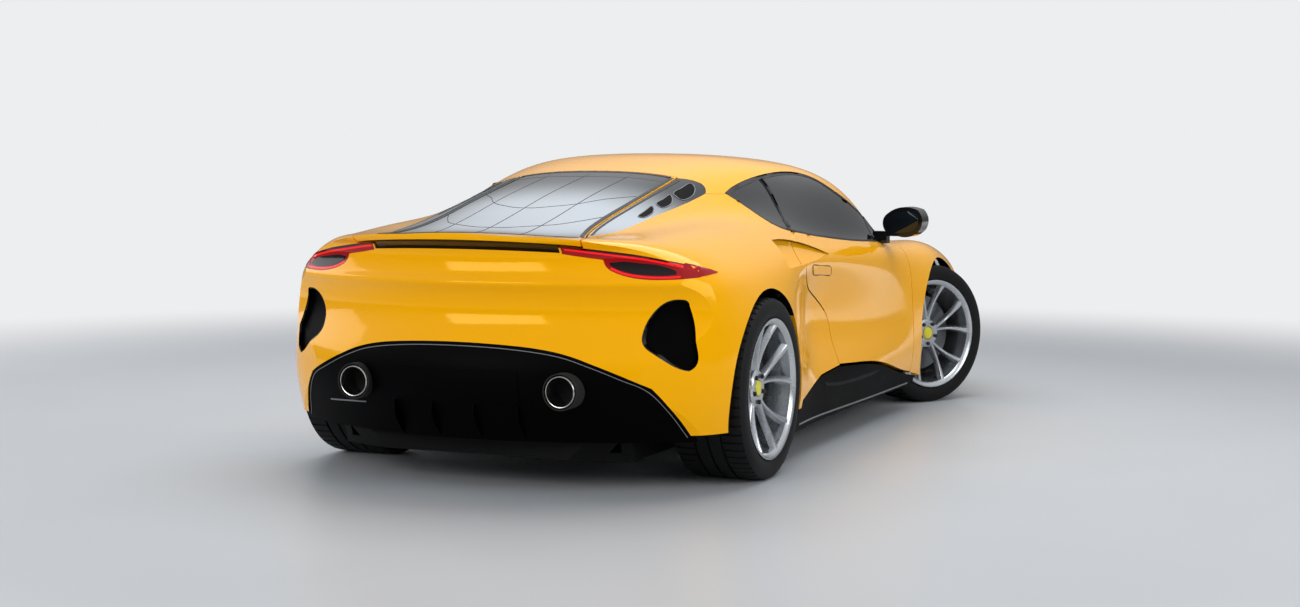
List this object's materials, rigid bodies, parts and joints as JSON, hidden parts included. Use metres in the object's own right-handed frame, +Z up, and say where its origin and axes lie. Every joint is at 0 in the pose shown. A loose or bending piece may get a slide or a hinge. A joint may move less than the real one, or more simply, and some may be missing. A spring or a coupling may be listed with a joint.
{
  "type": "coupe car",
  "caption": "Low mid-engined two-seat coupe with opening doors, front lid and tailgate, steered front wheels and free-turning wheels.",
  "frame": {"origin": "on the ground under the middle of the car", "axes": "+X to the nose, +Y to the left side, +Z up"},
  "size_m": [4.385, 2.1412, 1.226],
  "materials": {
    "body_paint": "glossy yellow paint",
    "glass": "dark tinted glass",
    "black_trim": "gloss black moulding",
    "lamp_lens": "red lens",
    "headlamp_lens": "clear lens",
    "mirror_paint": "glossy yellow cap in a black frame",
    "steel": "steel tube",
    "chassis": "extruded and bonded aluminium",
    "cast": "cast upright with caliper",
    "cabin_trim": "black soft trim",
    "seat_leather": "black leather",
    "tyre": "black rubber",
    "rim": "silver cast alloy",
    "disc": "machined disc"
  },
  "bodies": {
    "body": {"bulkheads": "chassis", "centre_console": "cabin_trim", "dashboard": "cabin_trim", "engine_block": "chassis", "exhaust_tips": "steel", "floor_tub": "chassis", "front_clam": "body_paint", "front_frame": "chassis", "front_grille": "black_trim", "front_splitter": "black_trim", "headlamps": "headlamp_lens", "lamp_band": "black_trim", "louvre_trims": "black_trim", "quarter_glass": "glass", "rear_clam": "body_paint", "rear_diffuser": "black_trim", "rear_frame": "chassis", "rear_uprights": "cast", "roof_frame": "body_paint", "seats": "seat_leather", "sill_blades": "black_trim", "suspension_arms": "chassis", "tail_lamps": "lamp_lens", "vent_inserts": "black_trim", "windscreen": "glass"},
    "door_left": {"door_left": "body_paint", "door_glass_left": "glass", "mirror_left": "mirror_paint"},
    "door_right": {"door_right": "body_paint", "door_glass_right": "glass", "mirror_right": "mirror_paint"},
    "bonnet": {"bonnet": "body_paint"},
    "tailgate": {"tailgate": "body_paint", "rear_glass": "glass"},
    "knuckle_left": {"knuckle_front_left": "cast"},
    "knuckle_right": {"knuckle_front_right": "cast"},
    "steering_wheel": {"steering_wheel": "cabin_trim"},
    "wheel_front_left": {"tyre_front_left": "tyre", "rim_front_left": "rim", "disc_front_left": "disc"},
    "wheel_front_right": {"tyre_front_right": "tyre", "rim_front_right": "rim", "disc_front_right": "disc"},
    "wheel_rear_left": {"tyre_rear_left": "tyre", "rim_rear_left": "rim", "disc_rear_left": "disc"},
    "wheel_rear_right": {"tyre_rear_right": "tyre", "rim_rear_right": "rim", "disc_rear_right": "disc"}
  },
  "joints": [
    {"name": "door_left_hinge", "type": "hinge", "parent": "body", "child": "door_left", "pos_m": [0.712, 0.925, 0.5], "axis": [0, 0, -1], "range_deg": [0, 65]},
    {"name": "door_right_hinge", "type": "hinge", "parent": "body", "child": "door_right", "pos_m": [0.712, -0.925, 0.5], "axis": [0, 0, 1], "range_deg": [0, 65]},
    {"name": "bonnet_hinge", "type": "hinge", "parent": "body", "child": "bonnet", "pos_m": [0.93, 0, 0.815], "axis": [0, -1, 0], "range_deg": [0, 60]},
    {"name": "tailgate_hinge", "type": "hinge", "parent": "body", "child": "tailgate", "pos_m": [-0.954, 0, 1.165], "axis": [0, 1, 0], "range_deg": [0, 60]},
    {"name": "steer_left", "type": "hinge", "parent": "body", "child": "knuckle_left", "pos_m": [1.179, 0.76, 0.34], "axis": [0, 0, 1], "range_deg": [-4, 66]},
    {"name": "steer_right", "type": "hinge", "parent": "body", "child": "knuckle_right", "pos_m": [1.179, -0.76, 0.34], "axis": [0, 0, 1], "range_deg": [-4, 66]},
    {"name": "wheel_front_left_spin", "type": "hinge", "parent": "knuckle_left", "child": "wheel_front_left", "pos_m": [1.20218, 0.79857, 0.34], "axis": [0.515, 0.8572, 0], "continuous": true},
    {"name": "wheel_front_right_spin", "type": "hinge", "parent": "knuckle_right", "child": "wheel_front_right", "pos_m": [1.15582, -0.79857, 0.34], "axis": [0.515, 0.8572, 0], "continuous": true},
    {"name": "wheel_rear_left_spin", "type": "hinge", "parent": "body", "child": "wheel_rear_left", "pos_m": [-1.396, 0.7925, 0.3425], "axis": [0, 1, 0], "continuous": true},
    {"name": "wheel_rear_right_spin", "type": "hinge", "parent": "body", "child": "wheel_rear_right", "pos_m": [-1.396, -0.7925, 0.3425], "axis": [0, 1, 0], "continuous": true},
    {"name": "steering_wheel_turn", "type": "hinge", "parent": "body", "child": "steering_wheel", "pos_m": [0.27, 0.37, 0.69], "axis": [-0.9272, 0, -0.3746], "range_deg": [-60, 930]}
  ],
  "couplings": [
    {"joint": "steer_right", "follows": "steer_left", "ratio": 1},
    {"joint": "steering_wheel_turn", "follows": "steer_left", "ratio": 14}
  ]
}
